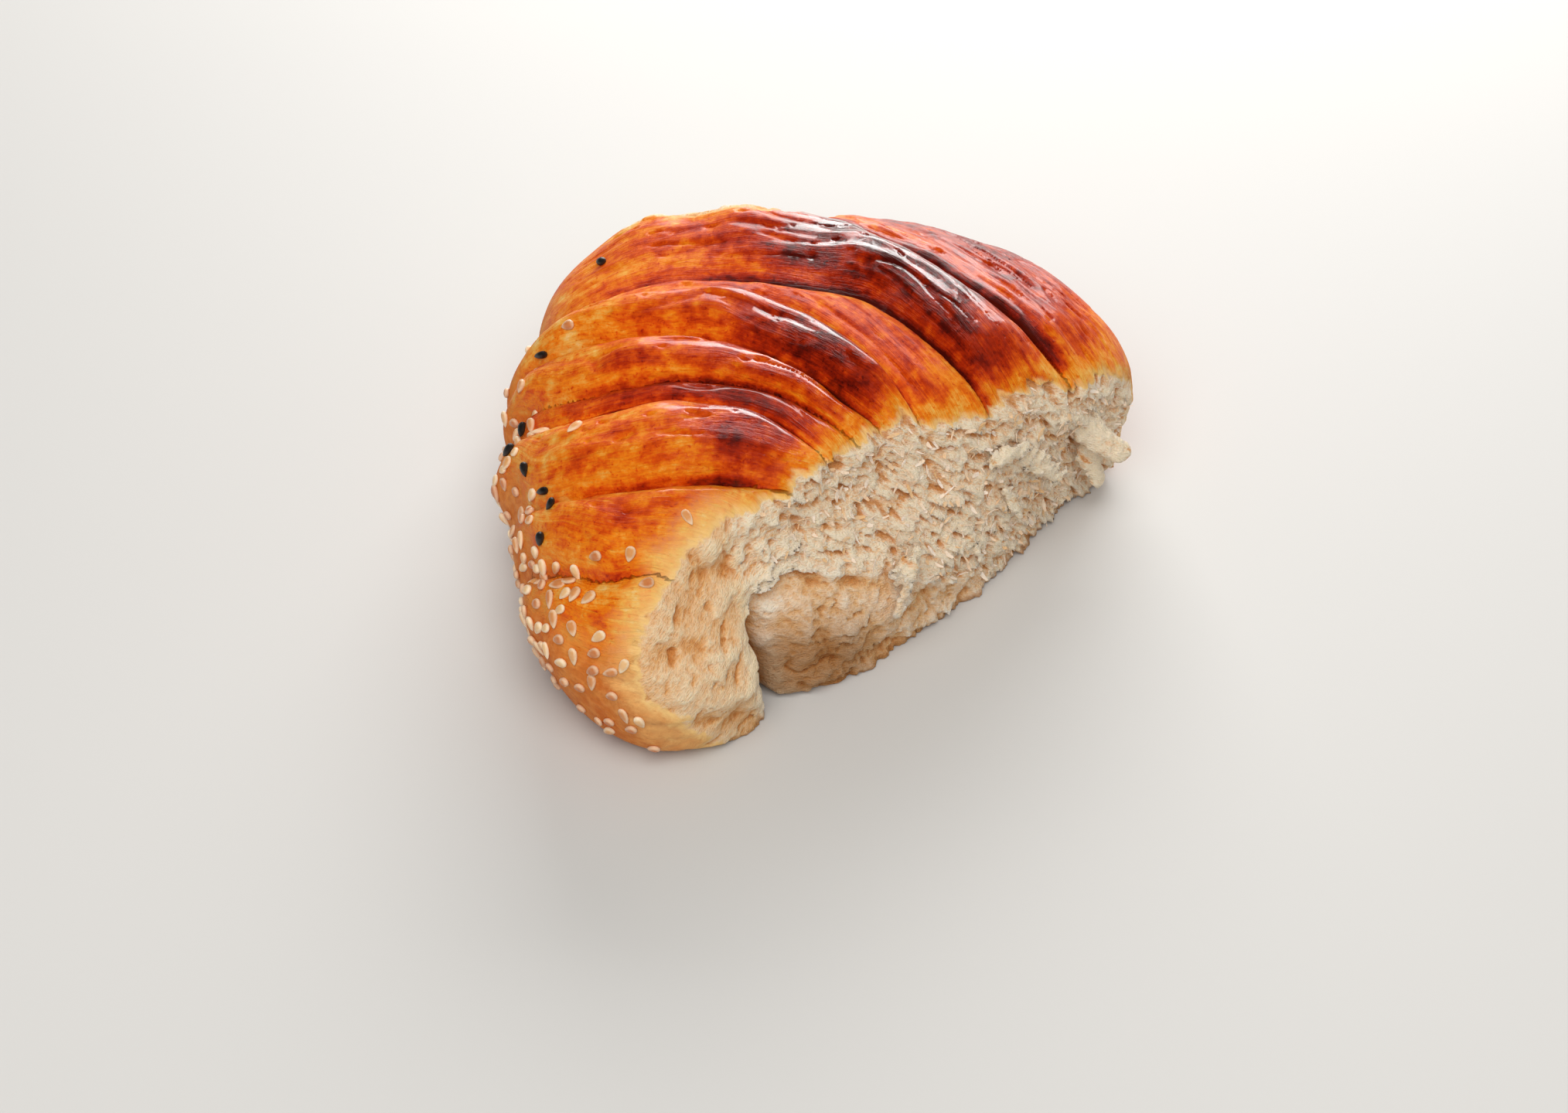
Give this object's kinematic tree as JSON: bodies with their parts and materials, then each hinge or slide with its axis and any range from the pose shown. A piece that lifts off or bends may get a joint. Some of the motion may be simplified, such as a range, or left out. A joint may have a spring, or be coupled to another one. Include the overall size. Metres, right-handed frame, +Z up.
{
  "type": "torn piece of pleated croissant",
  "caption": "Torn piece of a glazed, pleated croissant with sesame and nigella seeds on its closed end, one torn crumb face and a flat base to rest on",
  "frame": {"origin": "on the surface the bread rests on, under the middle of its box", "axes": "+Z up from the flat base; -Y and +X towards the torn crumb face; -X towards the seeded closed end"},
  "size_m": [0.1271, 0.132, 0.0528],
  "materials": {
    "crust": "glazed baked crust, satin to glossy on the crests",
    "sesame": "satin seed hull",
    "nigella": "matte black seed hull"
  },
  "bodies": {
    "root": {"bread": "crust", "nigella_seed_01": "nigella", "nigella_seed_02": "nigella", "nigella_seed_03": "nigella", "nigella_seed_04": "nigella", "nigella_seed_05": "nigella", "nigella_seed_06": "nigella", "nigella_seed_07": "nigella", "nigella_seed_08": "nigella", "sesame_seed_01": "sesame", "sesame_seed_02": "sesame", "sesame_seed_03": "sesame", "sesame_seed_04": "sesame", "sesame_seed_05": "sesame", "sesame_seed_06": "sesame", "sesame_seed_07": "sesame", "sesame_seed_08": "sesame", "sesame_seed_09": "sesame", "sesame_seed_10": "sesame", "sesame_seed_11": "sesame", "sesame_seed_12": "sesame", "sesame_seed_13": "sesame", "sesame_seed_14": "sesame", "sesame_seed_15": "sesame", "sesame_seed_16": "sesame", "sesame_seed_17": "sesame", "sesame_seed_18": "sesame", "sesame_seed_19": "sesame", "sesame_seed_20": "sesame", "sesame_seed_21": "sesame", "sesame_seed_22": "sesame", "sesame_seed_23": "sesame", "sesame_seed_24": "sesame", "sesame_seed_25": "sesame", "sesame_seed_26": "sesame", "sesame_seed_27": "sesame", "sesame_seed_28": "sesame", "sesame_seed_29": "sesame", "sesame_seed_30": "sesame", "sesame_seed_31": "sesame", "sesame_seed_32": "sesame", "sesame_seed_33": "sesame", "sesame_seed_34": "sesame", "sesame_seed_35": "sesame", "sesame_seed_36": "sesame", "sesame_seed_37": "sesame", "sesame_seed_38": "sesame", "sesame_seed_39": "sesame", "sesame_seed_40": "sesame"}
  },
  "joints": []
}
